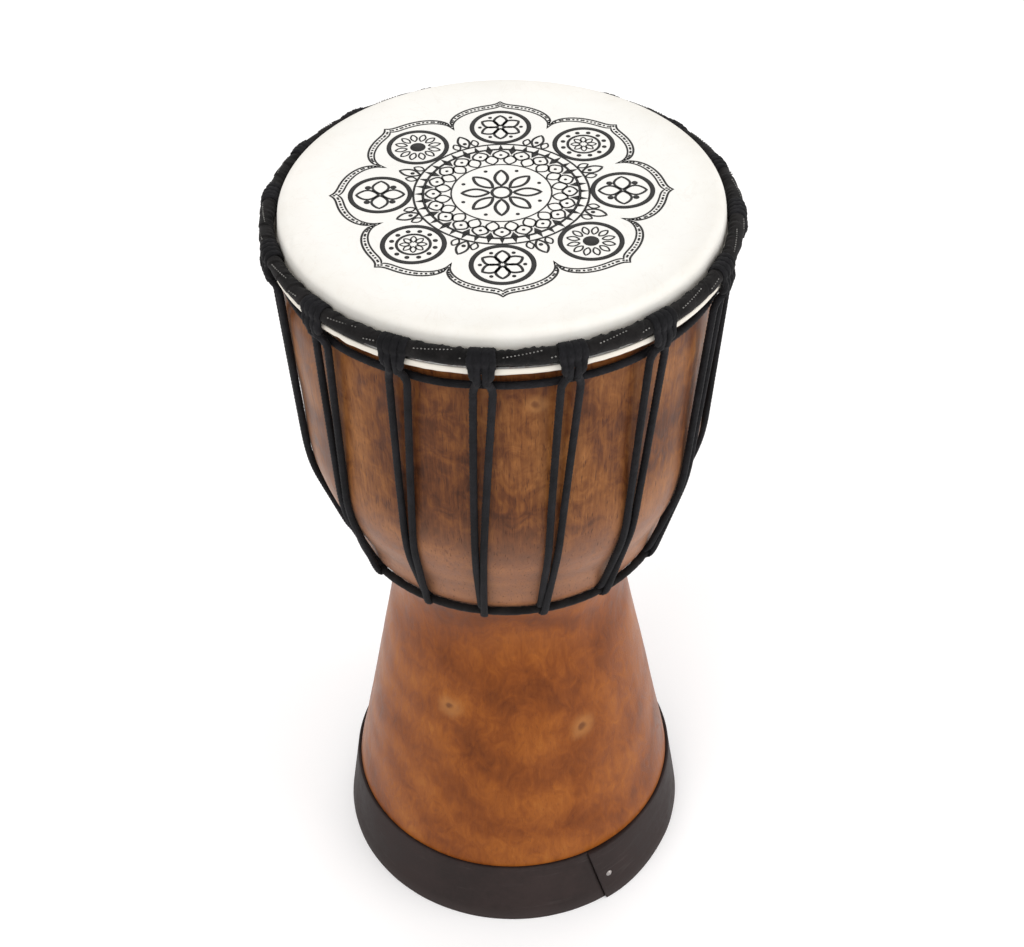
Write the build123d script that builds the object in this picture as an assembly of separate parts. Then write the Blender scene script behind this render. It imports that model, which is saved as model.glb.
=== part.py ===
from build123d import *
import math
import os

# Rope-tuned goblet drum: one carved wooden shell, a skin on a flesh hoop, two cloth-bound
# rings and one tuning rope.  Millimetres, +Z up, origin on the floor on the drum's axis.

# ---- shell, measured on its outside
FOOT_RADIUS = 112.4
BAND_HEIGHT = 47.5
STEM_TOP_OF_FOOT = (105.0, 50.0)     # radius, height where the foot turns into the stem
WAIST_CORNER = (68.2, 239.6)         # where the stem line and the bowl's flank would meet
WAIST_SWEEP = 100.0                  # radius of the hollow curve at the waist
SHOULDER_CORNER = (111.8, 332.4)     # where the flank and the bowl's side would meet
SHOULDER_SWEEP = 129.0
CROWN_RADIUS = 117.0
CROWN_START = 484.0
CROWN_TURN = 60.0
EDGE_HEIGHT = 499.2                  # top of the bearing edge
EDGE_ROUND = 5.0
FOOT_TURN = 220.0                    # gentle turn between foot and stem
HAIR = 0.02                          # air left between faces that bear on each other

# ---- shell, inside
MOUTH_RADIUS = 94.0
THROAT_CORNER = (48.0, 232.0)
THROAT_SWEEP = 60.0
BOWL_CORNER = (97.5, 338.0)
BOWL_SWEEP = 90.0
INNER_CROWN = (104.0, 486.0)
INNER_CROWN_TURN = 12.0
EDGE_INNER = 110.6                   # inner lip of the bearing edge

# ---- skin and its hoop
SKIN = 0.8
HOOP_RADIUS = 121.9
HOOP_HEIGHT = 481.3
HOOP_WIRE = 1.7
HEM_ROUND = 2.6                      # hoop with the skin folded round it
SKIRT_SLACK = 0.15

# ---- crown ring and waist ring
CROWN_RING_RADIUS = 123.8
CROWN_RING_HEIGHT = 489.1
CROWN_RING_STEEL = 2.6
CROWN_RING_CLOTH = 4.3
WAIST_RING_HEIGHT = 279.0
WAIST_RING_STEEL = 1.4
WAIST_RING_CLOTH = 2.1

# ---- rope
ROPE = 2.1                           # rope radius
GAP = 0.1                            # air left between a rope and what it lies on
HITCHES = 16
FIRST_HITCH = -5.0                   # degrees from the front, towards +X
HAND_SPACING = 2.4                   # how far the hand-tied spacing wanders, degrees
HAND_WAVES = 3                       # how many times it wanders in one turn
TWIST = -4.4                         # each V lands this far round on the waist ring
LINK_HEIGHT = 468.8
LOOP_OUTER = 5.9
LOOP_HOLE = 3.55
LOOP_SHIFT = (1.45, 0.6)             # the squeezed loop is thin behind the ring, full in front
LOOP_LEAN = 18.0
LOOP_ASIDE = 2.85
LOOP_SOFTEN = 1.3
LACE_TOP = (127.9, 483.4)
LACE_NECK = (126.9, 478.5)
NECK_HALF = 2.2                      # half spacing of the two strands at the neck
SPREAD_AT = 468.8                    # height where the strands lie widest apart
TOUCH_DOWN = 413.0                   # height where a strand first lies on the wood
HALF_AT_FLANK = 1.5                  # half spacing of the strands at FLANK_LEVEL
FLANK_LEVEL = 300.0
HALF_GROWTH = 0.0203                 # half spacing gained per millimetre of height
NECK_TURN = 9.0                      # radii of the rope's bends, from the crown down
SPREAD_TURN = 12.0
TOUCH_TURN = 150.0
RING_TURN = 12.0
ABOVE_RING = 2.5                     # how far past the waist ring the front strand lifts off

# ---- foot band
BAND = 2.0
BAND_FIT = 0.05                      # glue line under the strip
LAP_START = 29.0                     # degrees from the front, towards +X
LAP_END = 60.0
LAP_SHIFT = 3.5
LAP_SHIFT_AT = -30.0
NAIL_AT = 33.4
NAIL_HEIGHT = 22.0
NAIL_HEAD = 2.3
NAIL_RISE = 1.1
NAIL_SHANK = 1.0
NAIL_LENGTH = 12.0
NAIL_POINT = 2.5


def flank_line():
    """Unit direction up the bowl's flank and its outward normal, in (radius, height)."""
    dr = SHOULDER_CORNER[0] - WAIST_CORNER[0]
    dz = SHOULDER_CORNER[1] - WAIST_CORNER[1]
    n = math.hypot(dr, dz)
    return (dr / n, dz / n), (dz / n, -dr / n)


def rounded_path(corners):
    """Edges through the corners [(point, radius)], each corner turned by a tangent arc."""
    pts = [Vector(*p) for p, _ in corners]
    edges, here = [], pts[0]
    for i in range(1, len(pts) - 1):
        u = (pts[i] - pts[i - 1]).normalized()
        w = (pts[i + 1] - pts[i]).normalized()
        turn = math.acos(max(-1.0, min(1.0, u.dot(w))))
        radius = corners[i][1]
        reach = radius * math.tan(turn / 2)
        a, b = pts[i] - u * reach, pts[i] + w * reach
        mid = pts[i] + (w - u).normalized() * (radius / math.cos(turn / 2) - radius)
        if (a - here).length > 1e-4:
            edges.append(Edge.make_line(here, a))
        edges.append(Edge.make_three_point_arc(a, mid, b))
        here = b
    edges.append(Edge.make_line(here, pts[-1]))
    return edges


def in_profile(r, z):
    return (r, 0.0, z)


def spin(edges):
    """Solid of revolution about the drum's axis of a closed loop of profile edges."""
    return revolve(Face(Wire(edges)), Axis.Z, 360)


def torus_at(radius, height, tube):
    return Pos(0, 0, height) * Torus(radius, tube)


def around(shape, degrees_from_front):
    """Turn a piece built on +X so that it stands at an angle counted from the front (-Y)."""
    return Rot(0, 0, degrees_from_front - 90.0) * shape


def hitch_angle(k):
    step = 360.0 / HITCHES
    return FIRST_HITCH + step * k - HAND_SPACING * math.sin(math.radians(HAND_WAVES * step * k))


# ---------------------------------------------------------------- shell
def make_shell():
    outside = rounded_path([
        (in_profile(FOOT_RADIUS, 0), 0),
        (in_profile(*STEM_TOP_OF_FOOT), FOOT_TURN),
        (in_profile(*WAIST_CORNER), WAIST_SWEEP),
        (in_profile(*SHOULDER_CORNER), SHOULDER_SWEEP),
        (in_profile(CROWN_RADIUS, CROWN_START), CROWN_TURN),
        (in_profile(CROWN_RADIUS, EDGE_HEIGHT), EDGE_ROUND),
        (in_profile(EDGE_INNER, EDGE_HEIGHT), 0),
    ])
    inside = rounded_path([
        (in_profile(EDGE_INNER, EDGE_HEIGHT), 0),
        (in_profile(*INNER_CROWN), INNER_CROWN_TURN),
        (in_profile(*BOWL_CORNER), BOWL_SWEEP),
        (in_profile(*THROAT_CORNER), THROAT_SWEEP),
        (in_profile(MOUTH_RADIUS, 0), 0),
    ])
    foot = Edge.make_line(in_profile(MOUTH_RADIUS, 0), in_profile(FOOT_RADIUS, 0))
    return spin(outside + inside + [foot])


# ---------------------------------------------------------------- skin
def make_drumhead():
    bottom = EDGE_HEIGHT + HAIR
    top = bottom + SKIN
    inner_turn = CROWN_RADIUS + SKIRT_SLACK
    hem_in = HOOP_RADIUS - HEM_ROUND + SKIN
    under = rounded_path([
        (in_profile(0, bottom), 0),
        (in_profile(inner_turn, bottom), EDGE_ROUND),
        (in_profile(hem_in - SKIN, HOOP_HEIGHT), 0),
    ])
    over = rounded_path([
        (in_profile(hem_in, HOOP_HEIGHT), 0),
        (in_profile(inner_turn + SKIN, top), EDGE_ROUND + SKIN),
        (in_profile(0, top), 0),
    ])
    close_low = Edge.make_line(in_profile(hem_in - SKIN, HOOP_HEIGHT),
                               in_profile(hem_in, HOOP_HEIGHT))
    close_axis = Edge.make_line(in_profile(0, top), in_profile(0, bottom))
    sheet = spin(under + [close_low] + over + [close_axis])
    hem = torus_at(HOOP_RADIUS, HOOP_HEIGHT, HEM_ROUND)
    hollow = torus_at(HOOP_RADIUS, HOOP_HEIGHT, HOOP_WIRE + HAIR)
    return (sheet + hem) - hollow


# ---------------------------------------------------------------- rope
def waist_ring_radius():
    """The ring stands off the flank by one rope, which passes behind it."""
    (dr, dz), (nr, nz) = flank_line()
    off = 2 * ROPE + 2 * GAP + WAIST_RING_CLOTH
    s = (WAIST_RING_HEIGHT - nz * off - SHOULDER_CORNER[1]) / dz
    return SHOULDER_CORNER[0] + dr * s + nr * off


def flank_point(along, off):
    """Profile point measured along the flank from the ring's centre, off the wood by off."""
    (dr, dz), (nr, nz) = flank_line()
    stand = 2 * ROPE + 2 * GAP + WAIST_RING_CLOTH
    r0 = waist_ring_radius() - nr * stand
    z0 = WAIST_RING_HEIGHT - nz * stand
    return r0 + dr * along + nr * off, z0 + dz * along + nz * off


def side_line(off):
    """Bowl side above the shoulder, offset outwards: (point, unit direction upwards)."""
    dr = CROWN_RADIUS - SHOULDER_CORNER[0]
    dz = CROWN_START - SHOULDER_CORNER[1]
    n = math.hypot(dr, dz)
    dr, dz = dr / n, dz / n
    return (SHOULDER_CORNER[0] + dz * off, SHOULDER_CORNER[1] - dr * off), (dr, dz)


def meet(p, u, q, w):
    """Where the line p + s u crosses the line q + t w, in the profile plane."""
    det = u[0] * -w[1] + u[1] * w[0]
    s = ((q[0] - p[0]) * -w[1] + (q[1] - p[1]) * w[0]) / det
    return p[0] + s * u[0], p[1] + s * u[1]


def shoulder_centre():
    (fr, fz), (nr, nz) = flank_line()
    p = (SHOULDER_CORNER[0] - nr * SHOULDER_SWEEP, SHOULDER_CORNER[1] - nz * SHOULDER_SWEEP)
    q, w = side_line(-SHOULDER_SWEEP)
    return meet(p, (fr, fz), q, w)


def tangent_from(point, centre, radius):
    """Direction from a point below the shoulder to the outer tangent of the shoulder."""
    dr, dz = centre[0] - point[0], centre[1] - point[1]
    far = math.hypot(dr, dz)
    heading = math.atan2(dz, dr) - math.asin(radius / far)
    return math.cos(heading), math.sin(heading)


def strand_point(profile, half, side):
    """Profile point of a strand, moved round the drum by the twist and its half spacing."""
    r, z = profile
    run = min(1.0, max(0.0, (SPREAD_AT - z) / (SPREAD_AT - WAIST_RING_HEIGHT)))
    angle = math.radians(TWIST * run) + side * half / r
    return r * math.cos(angle), r * math.sin(angle), z


def half_spacing(z):
    return HALF_AT_FLANK + HALF_GROWTH * (z - FLANK_LEVEL)


def make_lace():
    """One V: down behind the waist ring, under it, and up in front of it."""
    lie = ROPE + GAP
    front = 2 * lie + 2 * WAIST_RING_CLOTH + 2 * ROPE
    bend = (front - lie) / 2
    q, w = side_line(lie)
    lift = (TOUCH_DOWN - q[1]) / w[1]
    touch = (q[0] + w[0] * lift, TOUCH_DOWN)
    link_r = side_line(lie)[0][0] + w[0] * (LINK_HEIGHT - q[1]) / w[1]
    wide = (link_r + 2 * ROPE + GAP, SPREAD_AT)
    (fr, fz), (nr, nz) = flank_line()
    low = (SHOULDER_CORNER[0] + nr * lie, SHOULDER_CORNER[1] + nz * lie)
    back_corner = meet(q, w, low, (fr, fz))
    rise = flank_point(ABOVE_RING, front)
    lean = tangent_from(rise, shoulder_centre(), SHOULDER_SWEEP + lie)
    front_corner = meet(q, w, rise, lean)
    sweep_r = SHOULDER_SWEEP + lie
    half_low = half_spacing(WAIST_RING_HEIGHT)

    def upper(side):
        return [
            (strand_point(LACE_TOP, NECK_HALF, side), 0),
            (strand_point(LACE_NECK, NECK_HALF, side), NECK_TURN),
            (strand_point(wide, half_spacing(SPREAD_AT), side), SPREAD_TURN),
            (strand_point(touch, half_spacing(TOUCH_DOWN), side), TOUCH_TURN),
        ]

    p1 = strand_point(flank_point(-bend, lie), half_low, -1)
    p2 = strand_point(flank_point(-bend, front), half_low, 1)
    turn = (Vector(*p2) - Vector(*p1)).length / 2 - HAIR
    corners = upper(-1)
    corners.append((strand_point(back_corner, half_spacing(back_corner[1]), -1), sweep_r))
    corners.append((p1, turn))
    corners.append((p2, turn))
    corners.append((strand_point(rise, half_low, 1), RING_TURN))
    corners.append((strand_point(front_corner, half_spacing(front_corner[1]), 1), sweep_r))
    corners += list(reversed(upper(1)))
    path = Wire(rounded_path(corners))
    start = Plane(origin=path @ 0, z_dir=path % 0)
    lace = sweep(start * Circle(ROPE), path=path)
    drift = abs(lace.volume / (math.pi * ROPE**2 * path.length) - 1)
    print("lace length", round(path.length, 1), "volume drift", round(drift, 4))
    return lace


def make_loop(side):
    """A turn of rope squeezed round the crown ring, leaning towards its neighbour below."""
    ring = (CROWN_RING_RADIUS, CROWN_RING_HEIGHT)
    plane = Plane(origin=(ring[0], ROPE, ring[1]), x_dir=(1, 0, 0), z_dir=(0, -1, 0))
    outline = plane * Pos(LOOP_SHIFT[0], LOOP_SHIFT[1]) * Circle(LOOP_OUTER)
    loop = extrude(outline, 2 * ROPE)
    loop = fillet(loop.edges().filter_by(GeomType.CIRCLE), LOOP_SOFTEN)
    hole = extrude(plane * Circle(LOOP_HOLE), 2 * ROPE)
    loop = loop - hole
    lean = Pos(ring[0], 0, ring[1]) * Rot(-side * LOOP_LEAN, 0, 0) * Pos(-ring[0], 0, -ring[1])
    return Pos(0, side * LOOP_ASIDE, 0) * lean * loop


# ---------------------------------------------------------------- foot band
def band_profile(out):
    """Closed profile of the rubber strip, its outer face pushed out by out."""
    slope = (FOOT_RADIUS - STEM_TOP_OF_FOOT[0]) / STEM_TOP_OF_FOOT[1]
    top_r = FOOT_RADIUS - slope * BAND_HEIGHT + BAND_FIT
    low_r = FOOT_RADIUS + BAND_FIT
    pts = [(low_r, 0), (low_r + out, 0), (top_r + out, BAND_HEIGHT), (top_r, BAND_HEIGHT)]
    return [in_profile(*p) for p in pts]


def make_foot_band():
    strip = revolve(Face(Wire.make_polygon(band_profile(BAND))), Axis.Z, 360)
    solid_core = revolve(Face(Wire.make_polygon(
        [in_profile(0, 0)] + band_profile(BAND)[1:3] + [in_profile(0, BAND_HEIGHT)])), Axis.Z, 360)
    shift = math.radians(LAP_SHIFT_AT - 90.0)
    pushed = Pos(LAP_SHIFT * math.cos(shift), LAP_SHIFT * math.sin(shift), 0) * solid_core
    reach = 2 * FOOT_RADIUS
    a, b = math.radians(LAP_START - 90.0), math.radians(LAP_END - 90.0)
    wedge = extrude(Face(Wire.make_polygon([
        (0, 0, 0), (reach * math.cos(a), reach * math.sin(a), 0),
        (reach * math.cos(b), reach * math.sin(b), 0)])), amount=BAND_HEIGHT, dir=(0, 0, 1))
    lap = (pushed & wedge) - solid_core
    return strip + lap


def make_nail():
    """Round-headed tack through the lap of the band into the foot."""
    slope = (FOOT_RADIUS - STEM_TOP_OF_FOOT[0]) / STEM_TOP_OF_FOOT[1]
    lap = LAP_SHIFT * math.cos(math.radians(NAIL_AT - LAP_SHIFT_AT))
    face = FOOT_RADIUS - slope * NAIL_HEIGHT + BAND + lap
    crown = Edge.make_three_point_arc(
        (NAIL_RISE, 0, 0), (0.75 * NAIL_RISE, 0, 0.6 * NAIL_HEAD), (0, 0, NAIL_HEAD))
    below = Wire.make_polygon([
        (0, 0, NAIL_HEAD), (0, 0, NAIL_SHANK), (-NAIL_LENGTH, 0, NAIL_SHANK),
        (-NAIL_LENGTH - NAIL_POINT, 0, 0), (NAIL_RISE, 0, 0)], close=False)
    nail = revolve(Face(Wire([crown] + list(below.edges()))), Axis.X, 360)
    tilt = math.degrees(math.atan(slope))
    return around(Pos(face + BAND_FIT, 0, NAIL_HEIGHT) * Rot(0, -tilt, 0) * nail, NAIL_AT)


# ---------------------------------------------------------------- assembly
parts = {}
parts["shell"] = make_shell()
parts["drumhead"] = make_drumhead()
parts["flesh_hoop"] = torus_at(HOOP_RADIUS, HOOP_HEIGHT, HOOP_WIRE)
parts["crown_ring"] = torus_at(CROWN_RING_RADIUS, CROWN_RING_HEIGHT, CROWN_RING_STEEL)

hitch = make_loop(-1) + make_loop(1)
lace = make_lace()
hitches = []
for k in range(HITCHES):
    name = f"{k + 1:02d}"
    parts["lace_" + name] = around(lace, hitch_angle(k))
    hitches.append(around(hitch, hitch_angle(k)))
    parts["crown_hitch_" + name] = hitches[-1]

ring_r = waist_ring_radius()
parts["waist_ring"] = torus_at(ring_r, WAIST_RING_HEIGHT, WAIST_RING_STEEL)
parts["waist_ring_cloth"] = (torus_at(ring_r, WAIST_RING_HEIGHT, WAIST_RING_CLOTH)
                             - torus_at(ring_r, WAIST_RING_HEIGHT, WAIST_RING_STEEL + HAIR))
cloth = torus_at(CROWN_RING_RADIUS, CROWN_RING_HEIGHT, CROWN_RING_CLOTH)
cloth -= torus_at(CROWN_RING_RADIUS, CROWN_RING_HEIGHT, CROWN_RING_STEEL + HAIR)
for piece in hitches:
    cloth -= piece
parts["crown_ring_cloth"] = cloth

q, w = side_line(ROPE + GAP)
link_r = q[0] + w[0] * (LINK_HEIGHT - q[1]) / w[1]
parts["link_rope"] = torus_at(link_r, LINK_HEIGHT, ROPE)

nail = make_nail()
parts["foot_band"] = make_foot_band() - nail
parts["foot_band_nail"] = nail
parts["shell"] = parts["shell"] - nail

for name, shape in parts.items():
    solids = shape.solids()
    print(name, "solids", len(solids), "volume", round(shape.volume, 1))
    export_step(shape, f"parts/{name}.step")
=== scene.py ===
from math import atan2, cos, hypot, pi, radians, sin

import bmesh
import bpy
import numpy as np
from mathutils import Matrix, Vector, noise
from mathutils.bvhtree import BVHTree


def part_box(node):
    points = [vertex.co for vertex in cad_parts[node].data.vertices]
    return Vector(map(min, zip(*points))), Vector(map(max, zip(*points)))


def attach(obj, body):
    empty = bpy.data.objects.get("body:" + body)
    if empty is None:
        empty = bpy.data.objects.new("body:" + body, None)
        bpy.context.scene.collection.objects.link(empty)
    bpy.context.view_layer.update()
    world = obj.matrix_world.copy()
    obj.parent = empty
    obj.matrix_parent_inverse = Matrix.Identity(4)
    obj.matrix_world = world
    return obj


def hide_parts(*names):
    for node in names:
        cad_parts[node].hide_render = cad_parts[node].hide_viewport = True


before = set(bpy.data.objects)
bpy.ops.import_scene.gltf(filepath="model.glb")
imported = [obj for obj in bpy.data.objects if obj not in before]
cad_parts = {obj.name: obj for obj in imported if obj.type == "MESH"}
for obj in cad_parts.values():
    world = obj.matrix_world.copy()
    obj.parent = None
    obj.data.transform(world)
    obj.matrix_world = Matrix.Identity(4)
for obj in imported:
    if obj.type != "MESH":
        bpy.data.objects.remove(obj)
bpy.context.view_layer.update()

# A rope-tuned goblet drum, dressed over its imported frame.  Metres, +Z up, the front at -Y.
# An angle round the drum is counted in radians from the front towards +X.
MM = 0.001
TAU = 2 * pi


# ---------------- what the frame says
def ring_of(node):
    """Radius, height and half thickness of a ring that lies level round the axis."""
    low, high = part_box(node)
    half = (high.z - low.z) / 2
    return (high.x - low.x) / 2 - half, (high.z + low.z) / 2, half


def facing(points):
    """The angle round the drum at which a piece's points lie."""
    middle = points.mean(axis=0)
    return atan2(middle[0], -middle[1])


def node_points(node):
    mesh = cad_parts[node].data
    flat = np.empty(len(mesh.vertices) * 3, np.float32)
    mesh.vertices.foreach_get("co", flat)
    return flat.reshape(-1, 3).astype(float)


HITCHES = sum(name.startswith("crown_hitch_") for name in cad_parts)
NUMBERS = [f"{k + 1:02d}" for k in range(HITCHES)]
CROWN_R, CROWN_Z, CROWN_STEEL = ring_of("crown_ring")
CROWN_CLOTH = ring_of("crown_ring_cloth")[2]
WAIST_STEEL = ring_of("waist_ring")[2]
WAIST_R, WAIST_Z, WAIST_CLOTH = ring_of("waist_ring_cloth")
LINK_R, LINK_Z, ROPE = ring_of("link_rope")
HOOP_R, HOOP_Z, _ = ring_of("flesh_hoop")
SKIN_LOW, SKIN_TOP = (corner.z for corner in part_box("drumhead"))
HEM = HOOP_Z - SKIN_LOW
SHELL_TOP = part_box("shell")[1].z
BAND_LOW_CORNER, BAND_HIGH_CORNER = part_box("foot_band")
BAND_TOP = BAND_HIGH_CORNER.z
FOOT_R = (BAND_HIGH_CORNER.x - BAND_LOW_CORNER.x) / 2
HITCH_AT = [facing(node_points("crown_hitch_" + n)) for n in NUMBERS]


def lace_foot(number):
    """The angle at which a lace passes under the waist ring."""
    points = node_points("lace_" + number)
    return facing(points[points[:, 2] < points[:, 2].min() + 2 * MM])


def turned(angle, centre):
    """Angle from centre the short way round."""
    return (angle - centre + pi) % TAU - pi


LACE_AT = [at + turned(lace_foot(n), at) for n, at in zip(NUMBERS, HITCH_AT)]


def measure_shell():
    """Outer and inner radius of the shell at even heights, read off the frame by rays."""
    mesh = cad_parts["shell"].data
    tree = BVHTree.FromPolygons([v.co for v in mesh.vertices],
                                [tuple(p.vertices) for p in mesh.polygons])
    short = 0.1 * MM     # rays keep this far inside the two flat ends
    heights = np.linspace(short, SHELL_TOP - short, 500)
    outer, inner = [], []
    for z in heights:
        out, hollow = [], []
        for degrees in range(100, 330, 45):
            way = Vector((sin(radians(degrees)), -cos(radians(degrees)), 0))
            centre = Vector((0, 0, z))
            out.append(tree.ray_cast(way + centre, -way)[0].xy.length)
            hollow.append(tree.ray_cast(centre, way)[0].xy.length)
        outer.append(np.mean(out))
        inner.append(np.mean(hollow))
    return heights, np.array(outer), np.array(inner)


HEIGHTS, OUTER, INNER = measure_shell()


# ---------------- small sums
def around(count):
    """Even angles once round."""
    return np.arange(count) * TAU / count


def step_between(x, low, high):
    """0 below low, 1 above high, smooth between."""
    t = np.clip((x - low) / (high - low), 0, 1)
    return t * t * (3 - 2 * t)


def hump(x, width):
    """1 where x is nought, fading to nothing beyond the width."""
    return np.exp(-(x / width) ** 2)


def place(radius, angle, height):
    """Points at a radius, an angle from the front and a height."""
    radius, angle, height = np.broadcast_arrays(radius, angle, height)
    return np.stack([radius * np.sin(angle), -radius * np.cos(angle), height], axis=-1)


def rough(points, scale, seed):
    """Smooth noise from -1 to 1 at each point."""
    shift = Vector((seed * 7.31, seed * 3.17, seed * 5.53))
    flat = points.reshape(-1, 3) * scale
    found = [noise.noise(Vector(p) + shift) for p in flat]
    return np.array(found).reshape(points.shape[:-1])


FULL_SIDE = radians(-86)        # the bowl is carved fuller on this side
FULL_REACH = 0.75                    # radians
FULL_LOW, FULL_HIGH = 2.4 * MM, 1.4 * MM     # lower down, and what the upper part adds
SEAT_RISE = 4.3 * MM                 # the bead behind the waist ring
SEAT_Z, SEAT_REACH = WAIST_Z + 3 * MM, 13.5 * MM


def carved_wander(angle, z):
    """How far the hand-carved outside stands off a truly round one."""
    clear = (step_between(z, BAND_TOP, BAND_TOP + 25 * MM)
             * (1 - hump(z - WAIST_Z, 16 * MM)) * (1 - step_between(z, 0.435, LINK_Z - 6 * MM)))
    full = hump(turned(angle, FULL_SIDE), FULL_REACH)
    full = full * step_between(z, 0.275, 0.320) * (1 - step_between(z, 0.450, 0.464))
    swell = full * (FULL_LOW + FULL_HIGH * step_between(z, 0.38, 0.43))
    seat = SEAT_RISE * hump(z - SEAT_Z, SEAT_REACH)
    lobes = 0.35 * np.sin(2 * angle + 1.3 + 9 * z) + 0.22 * np.sin(5 * angle - 2 + 23 * z)
    hollows = 0.12 * np.sin(9 * angle + 41 * z) + 0.10 * np.sin(13 * angle - 57 * z + 1)
    return seat + swell + clear * (lobes + hollows) * MM


def wood_radius(angle, z):
    return np.interp(z, HEIGHTS, OUTER) + carved_wander(angle, z)


# ---------------- meshes
def finish_piece(name, mesh, material, stands_for=()):
    piece = bpy.data.objects.new(name, mesh)
    bpy.context.scene.collection.objects.link(piece)
    mesh.materials.append(material)
    mesh.polygons.foreach_set("use_smooth", [True] * len(mesh.polygons))
    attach(piece, "root")
    if stands_for:
        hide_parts(*stands_for)
    return piece


def grid_faces(rows, columns, along, around):
    """Quads over a grid of points, joined end to end where along or around says so."""
    i, j = np.meshgrid(np.arange(rows - (not along)), np.arange(columns - (not around)),
                       indexing="ij")
    k, m = (i + 1) % rows, (j + 1) % columns
    quads = np.stack([i * columns + j, i * columns + m, k * columns + m, k * columns + j], -1)
    return quads.reshape(-1, 4), np.stack([i, j], -1).reshape(-1, 2)


def grid_mesh(name, points, along=False, around=False, lay=None, caps=False):
    """A mesh over points[row][column].  lay is (metres per row, metres per column) for the
    coordinates that weave and fibre follow."""
    rows, columns = points.shape[:2]
    quads, corners = grid_faces(rows, columns, along, around)
    faces = quads.tolist()
    if caps:
        faces.append(list(range(columns))[::-1])
        faces.append([(rows - 1) * columns + j for j in range(columns)])
    mesh = bpy.data.meshes.new(name)
    mesh.from_pydata(points.reshape(-1, 3).tolist(), [], faces)
    if lay:
        corner_rows = corners[:, :1] + np.array([[0, 0, 1, 1]])
        corner_columns = corners[:, 1:] + np.array([[0, 1, 1, 0]])
        places = np.stack([corner_columns * lay[1], corner_rows * lay[0]], -1).reshape(-1, 2)
        if caps:
            places = np.concatenate([places, np.zeros((2 * columns, 2))])
        mesh.uv_layers.new(name="lay").data.foreach_set("uv", places.ravel())
    mesh.validate()
    return mesh


def reworked(mesh, change):
    """Lets change work on the mesh as an editable one, and writes it back."""
    work = bmesh.new()
    work.from_mesh(mesh)
    change(work)
    work.to_mesh(mesh)
    work.free()


def run_of(points):
    """How far along a line each of its points lies."""
    return np.concatenate([[0], np.cumsum(np.linalg.norm(np.diff(points, axis=0), axis=1))])


def way_along(line, closed):
    """Unit direction of a line at each of its points."""
    way = (np.roll(line, -1, 0) - np.roll(line, 1, 0)) if closed else np.gradient(line, axis=0)
    return way / np.maximum(np.linalg.norm(way, axis=1, keepdims=True), 1e-9)


def resampled(points, run, count):
    even = np.linspace(0, run[-1], count)
    return np.stack([np.interp(even, run, points[:, k]) for k in range(3)], -1)


def eased_line(points, step, ease):
    """The line through the points at an even step, with its corners rounded off."""
    fine = 0.2 * MM
    run = run_of(points)
    dense = resampled(points, run, int(run[-1] / fine) + 2)
    reach = max(1, int(3 * ease / fine))
    kernel = np.exp(-0.5 * (np.arange(-reach, reach + 1) * fine / ease) ** 2)
    kernel /= kernel.sum()
    before = 2 * dense[0] - dense[reach:0:-1]
    after = 2 * dense[-1] - dense[-2:-reach - 2:-1]
    padded = np.concatenate([before, dense, after])
    dense = np.stack([np.convolve(padded[:, k], kernel, "valid") for k in range(3)], -1)
    run = run_of(dense)
    return resampled(dense, run, int(round(run[-1] / step)) + 1)


BRAID_CELLS = 6          # plaited strands seen side by side round the rope
BRAID_LENGTH = 2.7 * MM  # length of one crossing
BRAID_RISE = 0.42 * MM
BRAID_MEAN = 0.75        # the plait's height that leaves the rope its true thickness
ROPE_SIDES = 18
ROPE_STEP = 0.7 * MM


def braided_rope(name, line, side, wide=ROPE, deep=ROPE, closed=False):
    """A plaited rope along a line.  side is the direction across it at each point, and wide
    and deep are its half sizes, where it is squeezed."""
    count = len(line)
    way = way_along(line, closed)
    across = side - (side * way).sum(1, keepdims=True) * way
    across /= np.linalg.norm(across, axis=1, keepdims=True)
    through = np.cross(way, across)
    turn = around(ROPE_SIDES)
    length = ROPE_STEP * np.arange(count)
    if closed:
        crossings = round(count * ROPE_STEP / BRAID_LENGTH)
        length = np.arange(count) * crossings * BRAID_LENGTH / count
    lead = np.pi * length[:, None] / BRAID_LENGTH
    half = BRAID_CELLS / 2 * turn
    plait = np.abs(np.cos(half + lead)) * np.abs(np.cos(half - lead))
    swell = (plait - BRAID_MEAN) * BRAID_RISE
    out_wide = (np.reshape(wide, (-1, 1)) + swell) * np.cos(turn)
    out_deep = (np.reshape(deep, (-1, 1)) + swell) * np.sin(turn)
    points = (line[:, None, :] + across[:, None, :] * out_wide[..., None]
              + through[:, None, :] * out_deep[..., None])
    lay = (ROPE_STEP, TAU * ROPE / ROPE_SIDES)
    return grid_mesh(name, points, along=closed, around=True, lay=lay, caps=not closed)


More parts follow.
